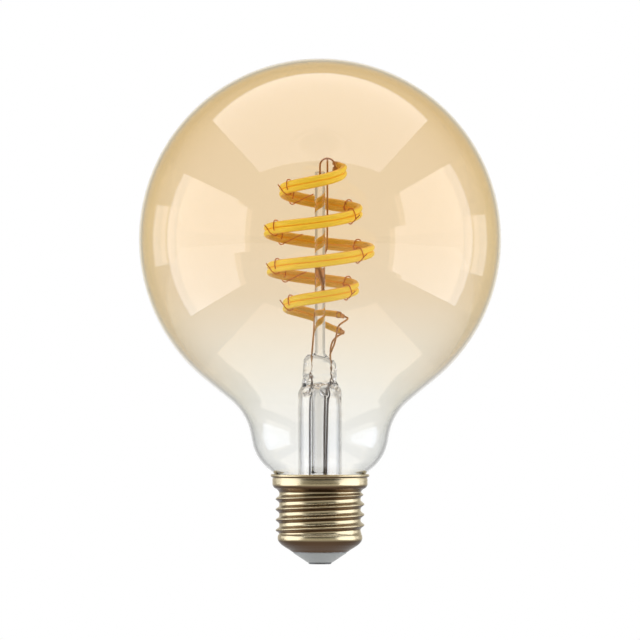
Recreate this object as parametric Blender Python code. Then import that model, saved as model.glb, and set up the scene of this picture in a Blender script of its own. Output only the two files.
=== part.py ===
"""A globe filament smart bulb on an E27 screw cap, held as separate parts in one frame.

Z is the bulb's axis, zero is the lower face of the centre contact, and the front is -Y.
Dimensions are in millimetres and turn into Blender's metres in the mesh builders.
"""

import math

import bmesh
import bpy
from mathutils import Matrix, Vector

MM = 0.001
GAP = 0.3  # clearance left between parts that touch on the real bulb

# Glass envelope
GLOBE_R = 53.8
GLOBE_Z = 96.4
GLASS_WALL = 0.9
NECK_LEAVES_AT = 140.7  # degrees from the top, where the globe ends and the neck starts
NECK_FLANK = 9.9
NECK_HOLLOW_R, NECK_HOLLOW_TURN = 16.6, 40.0
NECK_WAIST = 2.5
SHOULDER_R, SHOULDER_TURN = 13.3, 39.9
SHOULDER_FLANK = 2.6
SPIGOT_CURL_R = 2.5
SPIGOT_END_Z = 22.9
CROWN_TURN = 3.0  # degrees from the top where the surface starts, closed by a small flat cap
ENVELOPE_STEPS = 36

# Screw cap
CAP_TOP_Z = 26.8
CAP_FLANGE_R, CAP_FLANGE_Z = 14.7, 26.1
CAP_GROOVE_R, CAP_GROOVE_Z = 13.95, 25.6
COLLAR_R, COLLAR_LOW_Z = 14.15, 23.2
CAP_SHEET = 0.35
THREAD_ROOT_R, THREAD_CREST_R = 12.1, 13.2
THREAD_PITCH = 3.1
THREAD_CREST_SHARPNESS = 1.4
THREAD_LOW_Z, THREAD_HIGH_Z = 8.6, 21.6
THREAD_FADE = 1.3
THREAD_ROWS = 22
THREAD_CREST_Z = 17.8  # height of a crest on the +X side
BEAD_R, BEAD_Z = 12.6, 8.0
SKIRT_R, SKIRT_Z = 12.3, 6.6
CAP_MOUTH_R, CAP_MOUTH_Z = 8.2, 3.6
CAP_STEPS = 30

# Insulator and centre contact
INSULATOR_R, INSULATOR_RIM_Z = 7.75, 3.2
INSULATOR_LOW_R, INSULATOR_LOW_Z = 3.9, 0.45
INSULATOR_SEAT_R, INSULATOR_SEAT_Z = 10.9, 7.4  # its wide edge, held inside the shell
INSULATOR_BORE_R, INSULATOR_FLOOR_Z = 1.3, 5.0
CONTACT_R, CONTACT_THICK = 3.45, 0.5
RIVET_R, RIVET_TOP_Z = 0.9, 6.4

# Stem
FLARE_R, FLARE_WALL = 6.5, 1.0
FLARE_RIM_R, FLARE_RIM_Z = 11.4, 23.2
FLARE_CURVE_R = 4.6
FLARE_SHOULDER_Z, FLARE_TOP_Z, FLARE_MOUTH_R = 51.3, 53.9, 3.9
PRESS_X0, PRESS_X1 = -4.9, 5.0
PRESS_DEPTH = 5.2
PRESS_LOW_Z, PRESS_LEFT_Z, PRESS_RIGHT_Z = 54.2, 62.3, 60.6
PRESS_ROWS = (  # shares of its height, of its width and of its depth
    (0.0, 0.82, 0.9),
    (0.12, 0.97, 1.0),
    (0.5, 0.98, 0.94),
    (0.86, 1.0, 1.0),
    (0.96, 0.93, 0.9),
    (1.0, 0.8, 0.66),
)
PRESS_HOLES = ((-2.4, 0.0), (3.1, -0.75), (3.1, 0.75))  # common, upper and lower lead
EXHAUST_R, EXHAUST_WALL, EXHAUST_X = 2.7, 0.9, -0.25
EXHAUST_LOW_Z, EXHAUST_TOP_Z = 20.6, 50.6
POST_R, POST_LOW_Z, POST_TOP_Z = 1.55, 62.6, 116.6
POST_SOCKET_DEPTH = 3.0

# Wires
WIRE_R = 0.28
TIE_R = 0.12
TIE_PIECES = 10
HOOK_R = 2.2
HOOK_LEG_X = 4.4
HOOK_SPRING_Z = 118.3

# Filaments: a right-handed spiral, measured down from its top right bend
FILAMENT_R = 0.85
FILAMENT_PIECES = 80
PAIR_SPACING = 2.0
TERMINAL = (2.0, 0.3, 1.3)  # length, thickness and height
SPIRAL_TOP_Z = 116.95
SPIRAL_PITCH = 11.5
SPIRAL_SAG = 0.8  # how far the bends hang under an even pitch halfway down
SPIRAL_DIP = 0.5  # how much lower still the strands cross in front and behind
SPIRAL_DROP = 0.5  # how much lower the strands end, past the last bend
BEND_RADII = (7.1, 11.2, 11.7, 15.8, 15.3, 14.9, 10.7, 10.2)  # right and left in turn
TOP_END_TURN, TOP_END_R = -26.0, 5.7
BOTTOM_MID_TURN, BOTTOM_MID_R = 1350.0, 5.6
BOTTOM_END_TURN, BOTTOM_END_R = 1403.0, 7.2
BOTTOM_SPREAD = 2.9  # extra height between the two filaments at their lower ends
LAST_BEND = 180.0 * (len(BEND_RADII) - 1)

# Driver: some parts hang under the board and the rest stand on it
BOARD_R, BOARD_LOW_Z, BOARD_THICK = 10.6, 16.0, 1.4
UNDER_Z = BOARD_LOW_Z - GAP
OVER_Z = BOARD_LOW_Z + BOARD_THICK + GAP
CAPACITOR_R, CAPACITOR_TALL = 3.4, 7.6
CHOKE_R, CHOKE_TALL = 2.6, 6.2
RECTIFIER = (4.2, 3.6, 1.8)
FUSE_R, FUSE_LONG = 1.2, 7.2
CHANNEL_CHIP = (3.0, 4.0, 1.3)
RADIO_BOARD = (9.0, 5.6, 0.8)
RADIO_SHIELD = (6.4, 4.4, 1.4)
AERIAL_R, AERIAL_Z = 8.6, 21.2


def clear_scene():
    for obj in list(bpy.data.objects):
        bpy.data.objects.remove(obj, do_unlink=True)


def material(name, colour, roughness, metallic=0.0, transmission=0.0, ior=1.5):
    made = bpy.data.materials.new(name)
    made.use_nodes = True
    shader = made.node_tree.nodes["Principled BSDF"]
    shader.inputs["Base Color"].default_value = (*colour, 1.0)
    shader.inputs["Roughness"].default_value = roughness
    shader.inputs["Metallic"].default_value = metallic
    shader.inputs["Transmission Weight"].default_value = transmission
    shader.inputs["IOR"].default_value = ior
    made.diffuse_color = (*colour, 1.0 - 0.75 * transmission)
    return made


def add_object(name, mesh_builder, surface, smooth=True):
    """Turns a bmesh in millimetres into a named object under the bulb's origin."""
    bmesh.ops.recalc_face_normals(mesh_builder, faces=mesh_builder.faces)
    if mesh_builder.calc_volume(signed=True) < 0:
        bmesh.ops.reverse_faces(mesh_builder, faces=mesh_builder.faces)
    bmesh.ops.scale(mesh_builder, vec=(MM, MM, MM), verts=mesh_builder.verts)
    mesh = bpy.data.meshes.new(name)
    mesh_builder.to_mesh(mesh)
    mesh_builder.free()
    mesh.materials.append(surface)
    if smooth:
        mesh.shade_smooth()
        mesh.set_sharp_from_angle(angle=math.radians(40))
    obj = bpy.data.objects.new(name, mesh)
    bpy.context.collection.objects.link(obj)
    obj.parent = bpy.data.objects["bulb_origin"]
    return obj


def skin_rings(mesh_builder, rings, closed_along=False):
    """Joins rings of vertices that all have the same count, one to the next."""
    count = len(rings[0])
    pairs = list(zip(rings, rings[1:]))
    if closed_along:
        pairs.append((rings[-1], rings[0]))
    for low, high in pairs:
        for i in range(count):
            j = (i + 1) % count
            mesh_builder.faces.new((low[i], low[j], high[j], high[i]))


def close_ends(mesh_builder, rings):
    mesh_builder.faces.new(rings[0])
    mesh_builder.faces.new(rings[-1])


def polar(radius, angle, height):
    return Vector((radius * math.cos(angle), radius * math.sin(angle), height))


def ring_at(mesh_builder, radius, height, steps):
    """One ring of vertices round Z."""
    ring = []
    for i in range(steps):
        ring.append(mesh_builder.verts.new(polar(radius, 2 * math.pi * i / steps, height)))
    return ring


def turned(name, profile, surface, steps, solid_core=False):
    """Turns (radius, height) points round Z; a solid core closes the first and last on the axis."""
    mesh_builder = bmesh.new()
    rings = [ring_at(mesh_builder, radius, height, steps) for radius, height in profile]
    skin_rings(mesh_builder, rings, closed_along=not solid_core)
    if solid_core:
        close_ends(mesh_builder, rings)
    return add_object(name, mesh_builder, surface)


def wire(name, path, radius, surface, sides=6):
    """A round wire along a path of points, with flat ends and a frame that doesn't twist."""
    points = [Vector(p) for p in path]
    mesh_builder = bmesh.new()
    rings = []
    side = None
    for i, point in enumerate(points):
        ahead = (points[min(i + 1, len(points) - 1)] - points[max(i - 1, 0)]).normalized()
        if side is None:
            side = ahead.orthogonal()
        side = (side - ahead * side.dot(ahead)).normalized()
        across = ahead.cross(side)
        ring = []
        for k in range(sides):
            angle = 2 * math.pi * k / sides
            offset = side * math.cos(angle) + across * math.sin(angle)
            ring.append(mesh_builder.verts.new(point + offset * radius))
        rings.append(ring)
    skin_rings(mesh_builder, rings)
    close_ends(mesh_builder, rings)
    return add_object(name, mesh_builder, surface)


def block(name, size, centre, surface, bevel=0.0):
    mesh_builder = bmesh.new()
    bmesh.ops.create_cube(mesh_builder, size=1.0)
    bmesh.ops.scale(mesh_builder, vec=size, verts=mesh_builder.verts)
    if bevel:
        edges = mesh_builder.edges[:]
        bmesh.ops.bevel(mesh_builder, geom=edges, offset=bevel, segments=1, affect="EDGES")
    bmesh.ops.translate(mesh_builder, vec=centre, verts=mesh_builder.verts)
    return add_object(name, mesh_builder, surface, smooth=False)


def smooth_path(points, per_span):
    """A Catmull-Rom curve through the points."""
    knots = [Vector(p) for p in points]
    knots = [2 * knots[0] - knots[1]] + knots + [2 * knots[-1] - knots[-2]]
    path = []
    for a, b, c, d in zip(knots, knots[1:], knots[2:], knots[3:]):
        slope = c - a
        bend = 2 * a - 5 * b + 4 * c - d
        twist = 3 * b - a - 3 * c + d
        for i in range(per_span):
            t = i / per_span
            path.append(0.5 * (2 * b + slope * t + bend * t**2 + twist * t**3))
    path.append(knots[-2])
    return path


def smoothstep(value):
    value = min(max(value, 0.0), 1.0)
    return value * value * (3 - 2 * value)


def arc_walk(start, heading, moves):
    """Walks lines and arcs from a point: (radius, height, heading) at each stop.

    The heading is in degrees below horizontal, outward. A move is ("line", length) or
    ("arc", radius, turn, pieces), and a positive turn bends the walk inward, to the axis.
    """
    radius, height = start
    angle = math.radians(heading)
    stops = [(radius, height, angle)]
    for kind, *values in moves:
        if kind == "line":
            radius += values[0] * math.cos(angle)
            height -= values[0] * math.sin(angle)
            stops.append((radius, height, angle))
            continue
        bend, turn, pieces = values
        step = math.radians(turn) / pieces
        chord = 2 * bend * math.sin(abs(step) / 2)
        for _ in range(pieces):
            radius += chord * math.cos(angle + step / 2)
            height -= chord * math.sin(angle + step / 2)
            angle += step
            stops.append((radius, height, angle))
    return stops


def glass_envelope(surface):
    """The blown globe and neck, one wall, open where the flare was sealed in."""
    crown = math.radians(CROWN_TURN)
    start = (GLOBE_R * math.sin(crown), GLOBE_Z + GLOBE_R * math.cos(crown))
    foot = NECK_LEAVES_AT - NECK_HOLLOW_TURN + SHOULDER_TURN
    stops = arc_walk(
        start,
        CROWN_TURN,
        [
            ("arc", GLOBE_R, 90 - CROWN_TURN, 8),
            ("arc", GLOBE_R, NECK_LEAVES_AT - 90, 5),
            ("line", NECK_FLANK),
            ("arc", NECK_HOLLOW_R, -NECK_HOLLOW_TURN, 3),
            ("line", NECK_WAIST),
            ("arc", SHOULDER_R, SHOULDER_TURN, 3),
            ("line", SHOULDER_FLANK),
            ("arc", SPIGOT_CURL_R, 90 - foot, 3),
        ],
    )
    stops.append((stops[-1][0], SPIGOT_END_Z, stops[-1][2]))
    inner = []
    for radius, height, angle in stops:
        inner.append((radius - GLASS_WALL * math.sin(angle), height - GLASS_WALL * math.cos(angle)))
    outer = [(radius, height) for radius, height, _ in stops]
    mesh_builder = bmesh.new()
    rings = []
    for radius, height in inner + outer[::-1]:
        rings.append(ring_at(mesh_builder, radius, height, ENVELOPE_STEPS))
    skin_rings(mesh_builder, rings)
    close_ends(mesh_builder, rings)
    return add_object("glass_envelope", mesh_builder, surface)


def thread_lift(angle, height):
    """How far the rolled thread stands out of its root at this place."""
    phase = (height - THREAD_CREST_Z) / THREAD_PITCH - angle / (2 * math.pi)
    wave = (0.5 + 0.5 * math.cos(2 * math.pi * phase)) ** THREAD_CREST_SHARPNESS
    rise = smoothstep((height - THREAD_LOW_Z) / THREAD_FADE)
    fall = smoothstep((THREAD_HIGH_Z - height) / THREAD_FADE)
    return (THREAD_CREST_R - THREAD_ROOT_R) * wave * rise * fall


def cap_shell(surface):
    """The brass screw shell, rolled from thin sheet, so the thread shows inside and outside."""
    profile = [
        (CAP_FLANGE_R - 0.45, CAP_TOP_Z),
        (CAP_FLANGE_R, CAP_TOP_Z - 0.3),
        (CAP_FLANGE_R - 0.05, CAP_FLANGE_Z),
        (CAP_GROOVE_R, CAP_GROOVE_Z),
        (COLLAR_R, CAP_GROOVE_Z - 0.5),
        (COLLAR_R, COLLAR_LOW_Z + 0.4),
        (COLLAR_R - 0.4, COLLAR_LOW_Z - 0.3),
        (THREAD_ROOT_R + 0.5, THREAD_HIGH_Z + 0.4),
    ]
    for i in range(THREAD_ROWS + 1):
        height = THREAD_HIGH_Z + (THREAD_LOW_Z - THREAD_HIGH_Z) * i / THREAD_ROWS
        profile.append((THREAD_ROOT_R, height))
    profile += [
        (BEAD_R, BEAD_Z + 0.2),
        (BEAD_R, BEAD_Z - 0.4),
        (SKIRT_R, SKIRT_Z),
        (11.6, 5.9),
        (10.4, 5.05),
        (9.3, 4.35),
        (CAP_MOUTH_R, CAP_MOUTH_Z),
    ]
    rows = []
    for i, (radius, height) in enumerate(profile):
        before = profile[max(i - 1, 0)]
        after = profile[min(i + 1, len(profile) - 1)]
        run = Vector((after[0] - before[0], after[1] - before[1])).normalized()
        rows.append((radius, height, radius + run.y * CAP_SHEET, height - run.x * CAP_SHEET))
    mesh_builder = bmesh.new()
    outer_rings, inner_rings = [], []
    for radius, height, inner_radius, inner_height in rows:
        outer_ring, inner_ring = [], []
        for i in range(CAP_STEPS):
            angle = 2 * math.pi * i / CAP_STEPS
            lift = thread_lift(angle, height)
            outer_ring.append(mesh_builder.verts.new(polar(radius + lift, angle, height)))
            inner_ring.append(mesh_builder.verts.new(polar(inner_radius + lift, angle, inner_height)))
        outer_rings.append(outer_ring)
        inner_rings.append(inner_ring)
    skin_rings(mesh_builder, outer_rings + inner_rings[::-1], closed_along=True)
    return add_object("cap_shell", mesh_builder, surface)


def insulator(surface):
    """The glass insulator under the cap, with the bore for the contact's rivet."""
    return turned(
        "insulator",
        [
            (INSULATOR_BORE_R, CONTACT_THICK + GAP),
            (INSULATOR_LOW_R - 0.1, CONTACT_THICK + GAP),
            (INSULATOR_LOW_R, INSULATOR_LOW_Z),
            (INSULATOR_R, INSULATOR_RIM_Z),
            (INSULATOR_R, CAP_MOUTH_Z + 0.7),
            (CAP_MOUTH_R + 1.0, CAP_MOUTH_Z + 1.5),
            (INSULATOR_SEAT_R, INSULATOR_SEAT_Z - 0.9),
            (INSULATOR_SEAT_R, INSULATOR_SEAT_Z),
            (INSULATOR_SEAT_R - 2.4, INSULATOR_SEAT_Z),
            (INSULATOR_SEAT_R - 3.9, INSULATOR_FLOOR_Z + 0.2),
            (INSULATOR_BORE_R, INSULATOR_FLOOR_Z),
        ],
        surface,
        20,
    )


def centre_contact(surface):
    return turned(
        "centre_contact",
        [
            (CONTACT_R - 0.35, 0.0),
            (CONTACT_R, 0.3),
            (CONTACT_R - 0.05, CONTACT_THICK),
            (RIVET_R, CONTACT_THICK),
            (RIVET_R, RIVET_TOP_Z - 0.2),
            (RIVET_R - 0.2, RIVET_TOP_Z),
        ],
        surface,
        20,
        solid_core=True,
    )


def cement_ring(surface):
    """The cement that holds the neck of the glass in the cap's collar."""
    inner_r = COLLAR_R - 1.2
    outer_r = COLLAR_R - 0.7
    low = COLLAR_LOW_Z + 0.2
    profile = [(inner_r, low), (outer_r, low + 0.1), (outer_r, low + 1.6), (inner_r, low + 1.6)]
    return turned("neck_cement", profile, surface, 24)


def stem_flare(surface):
    """The stem's outer tube, flared at the foot to meet the neck and drawn in at the press."""
    profile = [(FLARE_RIM_R, FLARE_RIM_Z)]
    centre_r = FLARE_R + FLARE_CURVE_R
    curve_z = FLARE_RIM_Z + FLARE_CURVE_R + 0.1
    for degrees in (75, 45, 20, 0):
        turn = math.radians(degrees)
        profile.append((centre_r - FLARE_CURVE_R * math.cos(turn), curve_z - FLARE_CURVE_R * math.sin(turn)))
    profile += [
        (FLARE_R, FLARE_SHOULDER_Z - 1.4),
        (FLARE_R - 0.3, FLARE_SHOULDER_Z),
        (FLARE_R - 1.2, FLARE_TOP_Z - 1.0),
        (FLARE_MOUTH_R + 0.6, FLARE_TOP_Z),
        (FLARE_MOUTH_R, FLARE_TOP_Z - 0.2),
        (FLARE_R - 1.9, FLARE_TOP_Z - 1.7),
        (FLARE_R - FLARE_WALL - 0.2, FLARE_SHOULDER_Z - 0.8),
        (FLARE_R - FLARE_WALL, FLARE_SHOULDER_Z - 2.0),
    ]
    for degrees in (0, 20, 45, 75):
        turn = math.radians(degrees)
        reach = FLARE_CURVE_R + FLARE_WALL
        profile.append((centre_r - reach * math.cos(turn), curve_z - reach * math.sin(turn)))
    profile.append((FLARE_RIM_R, FLARE_RIM_Z - FLARE_WALL))
    return turned("stem_flare", profile, surface, 20)


def rounded_ring(half_x, half_y, count):
    """A rounded rectangle, as a superellipse."""
    ring = []
    for i in range(count):
        angle = 2 * math.pi * i / count
        c, s = math.cos(angle), math.sin(angle)
        x = half_x * math.copysign(abs(c) ** 0.5, c)
        y = half_y * math.copysign(abs(s) ** 0.7, s)
        ring.append((x, y))
    return ring


def stem_press(surface):
    """The pinched block of glass that the lead wires pass through."""
    middle = (PRESS_X0 + PRESS_X1) / 2
    half_x = (PRESS_X1 - PRESS_X0) / 2
    mesh_builder = bmesh.new()
    rings = []
    for level, wide, deep in PRESS_ROWS:
        ring = []
        for x, y in rounded_ring(half_x * wide, PRESS_DEPTH / 2 * deep, 20):
            across = (x + half_x) / (2 * half_x)
            top = PRESS_LEFT_Z + (PRESS_RIGHT_Z - PRESS_LEFT_Z) * smoothstep(across)
            z = PRESS_LOW_Z + (top - PRESS_LOW_Z) * level
            ring.append(mesh_builder.verts.new((middle + x, y, z)))
        rings.append(ring)
    skin_rings(mesh_builder, rings)
    close_ends(mesh_builder, rings)
    press = add_object("stem_press", mesh_builder, surface)
    for number, (x, y) in enumerate(PRESS_HOLES):
        through = [(x, y, PRESS_LOW_Z - 2), (x, y, PRESS_LEFT_Z + 2)]
        cutter = wire(f"press_cutter_{number}", through, WIRE_R + 0.2, surface, 8)
        cutter.hide_render = True
        cutter.display_type = "WIRE"
        hole = press.modifiers.new(f"lead_hole_{number}", "BOOLEAN")
        hole.operation = "DIFFERENCE"
        hole.solver = "EXACT"
        hole.object = cutter
    return press


def exhaust_tube(surface):
    """The tube the bulb was pumped out through, sealed at its lower tip."""
    bore = EXHAUST_R - EXHAUST_WALL
    tube = turned(
        "exhaust_tube",
        [
            (0.5, EXHAUST_LOW_Z),
            (1.7, EXHAUST_LOW_Z + 0.9),
            (EXHAUST_R, EXHAUST_LOW_Z + 2.6),
            (EXHAUST_R, EXHAUST_TOP_Z),
            (bore, EXHAUST_TOP_Z),
            (bore, EXHAUST_LOW_Z + 3.4),
            (0.5, EXHAUST_LOW_Z + 2.2),
        ],
        surface,
        14,
        solid_core=True,
    )
    tube.location.x = EXHAUST_X * MM
    return tube


def support_post(surface):
    """The glass rod the filaments hang round, with a socket in its top for the hook."""
    socket = WIRE_R + GAP
    return turned(
        "support_post",
        [
            (POST_R - 0.2, POST_LOW_Z),
            (POST_R, POST_LOW_Z + 0.3),
            (POST_R, POST_TOP_Z - 0.3),
            (POST_R - 0.25, POST_TOP_Z),
            (socket, POST_TOP_Z),
            (socket, POST_TOP_Z - POST_SOCKET_DEPTH),
        ],
        surface,
        16,
        solid_core=True,
    )


def spiral_radius(turn):
    """Distance of the spiral from the axis, by a smooth run through the bends."""
    stations = [(TOP_END_TURN, TOP_END_R)]
    stations += [(180.0 * i, radius) for i, radius in enumerate(BEND_RADII)]
    stations += [(BOTTOM_MID_TURN, BOTTOM_MID_R), (BOTTOM_END_TURN, BOTTOM_END_R)]
    for (turn_a, radius_a), (turn_b, radius_b) in zip(stations, stations[1:]):
        if turn <= turn_b:
            return radius_a + (radius_b - radius_a) * smoothstep((turn - turn_a) / (turn_b - turn_a))
    return BOTTOM_END_R


def spiral_point(turn, rise=0.0):
    """A place beside the pair's centre line, with the turn in degrees down from the top bend."""
    share = min(max(turn / LAST_BEND, 0.0), 1.0)
    crossing = 0.5 - 0.5 * math.cos(math.radians(2 * turn))
    height = SPIRAL_TOP_Z - SPIRAL_PITCH * turn / 360
    height -= math.sin(math.pi * share) * (SPIRAL_SAG + SPIRAL_DIP * crossing)
    height -= SPIRAL_DROP * smoothstep((turn - LAST_BEND) / 90)
    return polar(spiral_radius(turn), -math.radians(turn), height + rise)


def pair_spread(turn):
    """Distance between the two filaments' centre lines."""
    opens_at = LAST_BEND + 60
    share = (turn - opens_at) / (BOTTOM_END_TURN - opens_at)
    return PAIR_SPACING + BOTTOM_SPREAD * smoothstep(share)


def filament_path(side):
    """The centre line of the upper (side 1) or lower (side -1) filament."""
    path = []
    for i in range(FILAMENT_PIECES + 1):
        turn = TOP_END_TURN + (BOTTOM_END_TURN - TOP_END_TURN) * i / FILAMENT_PIECES
        path.append(spiral_point(turn, rise=side * pair_spread(turn) / 2))
    return path


def terminal(name, end, beyond, surface):
    """The metal strip crimped on a filament's end, lying along the filament."""
    along = (end - beyond).normalized()
    across = along.cross(Vector((0, 0, 1))).normalized()
    up = across.cross(along)
    centre = end + along * (TERMINAL[0] / 2 + GAP)
    mesh_builder = bmesh.new()
    bmesh.ops.create_cube(mesh_builder, size=1.0)
    bmesh.ops.scale(mesh_builder, vec=TERMINAL, verts=mesh_builder.verts)
    turn = Matrix((along, across, up)).transposed()
    bmesh.ops.rotate(mesh_builder, matrix=turn, verts=mesh_builder.verts)
    bmesh.ops.translate(mesh_builder, vec=centre, verts=mesh_builder.verts)
    add_object(name, mesh_builder, surface, smooth=False)
    return end + along * (TERMINAL[0] + GAP)


def tie_wire(name, turn, face, tail, surface):
    """A thin wire taken once round both filaments, its end left as a tail outside (1) or inside (-1)."""
    centre = spiral_point(turn)
    along = (spiral_point(turn + 2) - spiral_point(turn - 2)).normalized()
    outward = Vector((centre.x, centre.y, 0)).normalized()
    up = along.cross(outward).normalized()
    if up.z < 0:
        up = -up
    wide = FILAMENT_R + TIE_R + GAP
    tall = FILAMENT_R + PAIR_SPACING / 2 + TIE_R + GAP
    path = []
    for i in range(TIE_PIECES + 1):
        angle = math.radians(-50 - 33 * (TIE_PIECES - i))
        lean = 0.06 * (i - TIE_PIECES / 2)
        ring_point = outward * face * wide * math.cos(angle) + up * tall * math.sin(angle)
        path.append(centre + ring_point + along * lean)
    clear = outward * face
    end = path[-1]
    path.append(end + clear * 0.7 + Vector(tail) * 0.15)
    path.append(end + clear * 1.0 + Vector(tail))
    return wire(name, path, TIE_R, surface, 4)


def tie_wires(surface):
    """Four in front of the left bends, three behind them, and three each side of the right bends."""
    groups = (
        ("tie_front_left", 4, 148, 1, (-1.6, -0.4, 2.6)),
        ("tie_back_left", 3, 222, -1, (3.6, 2.4, 1.6)),
        ("tie_back_right", 3, 318, 1, (-1.0, 0.9, 2.4)),
        ("tie_front_right", 3, 402, 1, (1.8, -0.9, 2.2)),
    )
    for name, count, first_turn, face, tail in groups:
        for number in range(count):
            tie_wire(f"{name}_{number + 1}", first_turn + 360 * number, face, tail, surface)


def filaments(silicone, copper):
    """Both filaments with a terminal at each end; returns the places of the lower terminals."""
    feet = []
    for label, side in (("upper", 1), ("lower", -1)):
        path = filament_path(side)
        wire(f"filament_{label}", path, FILAMENT_R, silicone, 7)
        terminal(f"terminal_top_{label}", path[0], path[1], copper)
        feet.append(terminal(f"terminal_foot_{label}", path[-1], path[-2], copper))
    return feet


def press_run(x, y):
    """Stations that keep a lead straight while it's inside the press."""
    return [(x, y, z) for z in (PRESS_LOW_Z - 1, PRESS_LOW_Z, PRESS_LEFT_Z - 1.5, PRESS_LEFT_Z + 0.2)]


def wires(copper, feet):
    """The common lead and hook at the top, and one lead for each filament's foot."""
    (common_x, common_y), (upper_x, upper_y), (lower_x, lower_y) = PRESS_HOLES
    common = [
        (-2.9, -1.6, OVER_Z),
        (-2.97, -1.9, 30),
        (-2.9, -1.9, 50),
        *press_run(common_x, common_y),
        (-1.9, 1.3, 69),
        (-1.2, 2.2, 77),
        (0.4, 2.5, 85),
        (1.75, 1.7, 92),
        (2.15, 0.7, 99),
        (2.2, 0.3, 112),
        (HOOK_LEG_X / 2, 0, HOOK_SPRING_Z + HOOK_R - 2 * WIRE_R - GAP),
    ]
    wire("lead_common", smooth_path(common, 3), WIRE_R, copper)
    hook = [(0, 0, POST_TOP_Z - POST_SOCKET_DEPTH + 2 * GAP), (0, 0, HOOK_SPRING_Z)]
    for degrees in range(20, 180, 20):
        turn = math.radians(degrees)
        hook.append((HOOK_R - HOOK_R * math.cos(turn), 0, HOOK_SPRING_Z + HOOK_R * math.sin(turn)))
    hook += [(HOOK_LEG_X, 0, HOOK_SPRING_Z), (HOOK_LEG_X, 0, 115.9)]
    wire("top_hook", hook, WIRE_R, copper)
    upper_foot, lower_foot = feet
    upper = [
        (1.5, -2.9, OVER_Z),
        (1.75, -2.9, 27),
        (2.3, -2.7, 50),
        *press_run(upper_x, upper_y),
        (4.6, -0.3, 67),
        (5.6, 0.6, 70.3),
        (8.4, 2.2, 72.6),
        (upper_foot.x + 0.6, upper_foot.y - 0.3, upper_foot.z),
    ]
    wire("lead_upper", smooth_path(upper, 3), WIRE_R, copper)
    lower = [
        (1.0, -3.7, OVER_Z),
        (1.2, -3.7, 27),
        (1.45, -3.4, 49.5),
        *press_run(lower_x, lower_y),
        (3.5, 1.0, 65.4),
        (4.6, 1.9, 67.4),
        (lower_foot.x - 0.2, lower_foot.y - 0.8, lower_foot.z - 0.5),
    ]
    wire("lead_lower", smooth_path(lower, 3), WIRE_R, copper)
    wire("centre_contact_wire", [(0, 0, RIVET_TOP_Z + GAP), (0, 0, BOARD_LOW_Z - GAP)], WIRE_R, copper)
    side = [(8.8, 2.0, OVER_Z), (8.8, 2.0, 18.8), (9.6, 2.0, 20.2), (10.9, 2.0, 21.2)]
    wire("side_contact_wire", side, WIRE_R, copper)


def can(name, radius, low, high, place, surface, steps=16):
    """An upright can with its top and bottom edges eased."""
    ease = 0.4
    made = turned(
        name,
        [(radius - ease, low), (radius, low + ease), (radius, high - ease), (radius - ease, high)],
        surface,
        steps,
        solid_core=True,
    )
    made.location.x = place[0] * MM
    made.location.y = place[1] * MM
    return made


def driver(board_green, black, silver, blue, copper, cream):
    """The round board in the cap with the parts that feed two channels from the mains."""
    board_top = OVER_Z - GAP
    turned("driver_board", [(BOARD_R, BOARD_LOW_Z), (BOARD_R, board_top)], board_green, 28, solid_core=True)
    can("smoothing_capacitor", CAPACITOR_R, UNDER_Z - CAPACITOR_TALL, UNDER_Z, (-4.6, 2.4), blue)
    can("filter_choke", CHOKE_R, UNDER_Z - CHOKE_TALL, UNDER_Z, (4.6, 4.2), black)
    block("bridge_rectifier", RECTIFIER, (4.8, -3.6, UNDER_Z - RECTIFIER[2] / 2), black, 0.2)
    fuse_z = UNDER_Z - FUSE_R - 0.1
    wire("fusible_resistor", [(-6.6, -5.2, fuse_z), (FUSE_LONG - 6.6, -5.2, fuse_z)], FUSE_R, cream, 10)
    chip_z = OVER_Z + CHANNEL_CHIP[2] / 2
    block("channel_driver_warm", CHANNEL_CHIP, (-6.2, -3.2, chip_z), black, 0.15)
    block("channel_driver_cool", CHANNEL_CHIP, (6.2, -3.2, chip_z), black, 0.15)
    radio_top = OVER_Z + RADIO_BOARD[2]
    block("radio_board", RADIO_BOARD, (0, 6.4, OVER_Z + RADIO_BOARD[2] / 2), board_green)
    block("radio_shield", RADIO_SHIELD, (-0.8, 6.2, radio_top + GAP + RADIO_SHIELD[2] / 2), silver, 0.15)
    aerial = [(3.9, 8.0, radio_top + GAP)]
    for degrees in range(60, -80, -20):
        aerial.append(polar(AERIAL_R, math.radians(degrees), AERIAL_Z))
    wire("aerial_wire", aerial, WIRE_R, copper, 5)


def main():
    clear_scene()
    origin = bpy.data.objects.new("bulb_origin", None)
    bpy.context.collection.objects.link(origin)
    amber = material("amber_glass", (0.93, 0.72, 0.40), 0.02, transmission=1.0)
    clear = material("clear_glass", (0.96, 0.97, 0.97), 0.02, transmission=1.0, ior=1.52)
    brass = material("aged_brass", (0.50, 0.40, 0.24), 0.24, metallic=1.0)
    silver = material("plated_contact", (0.48, 0.49, 0.48), 0.3, metallic=1.0)
    grey_glass = material("grey_insulator", (0.60, 0.62, 0.60), 0.25)
    copper = material("copper_wire", (0.55, 0.26, 0.10), 0.3, metallic=1.0)
    silicone = material("filament_silicone", (0.90, 0.56, 0.06), 0.45)
    cement = material("cement", (0.72, 0.68, 0.58), 0.9)
    board_green = material("board_green", (0.05, 0.24, 0.12), 0.5)
    black = material("moulded_black", (0.03, 0.03, 0.03), 0.5)
    blue = material("capacitor_sleeve", (0.04, 0.06, 0.16), 0.35)
    cream = material("resistor_body", (0.75, 0.68, 0.50), 0.5)

    glass_envelope(amber)
    cap_shell(brass)
    cement_ring(cement)
    insulator(grey_glass)
    centre_contact(silver)
    stem_flare(clear)
    stem_press(clear)
    exhaust_tube(clear)
    support_post(clear)
    wires(copper, filaments(silicone, copper))
    tie_wires(copper)
    driver(board_green, black, silver, blue, copper, cream)


main()
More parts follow.
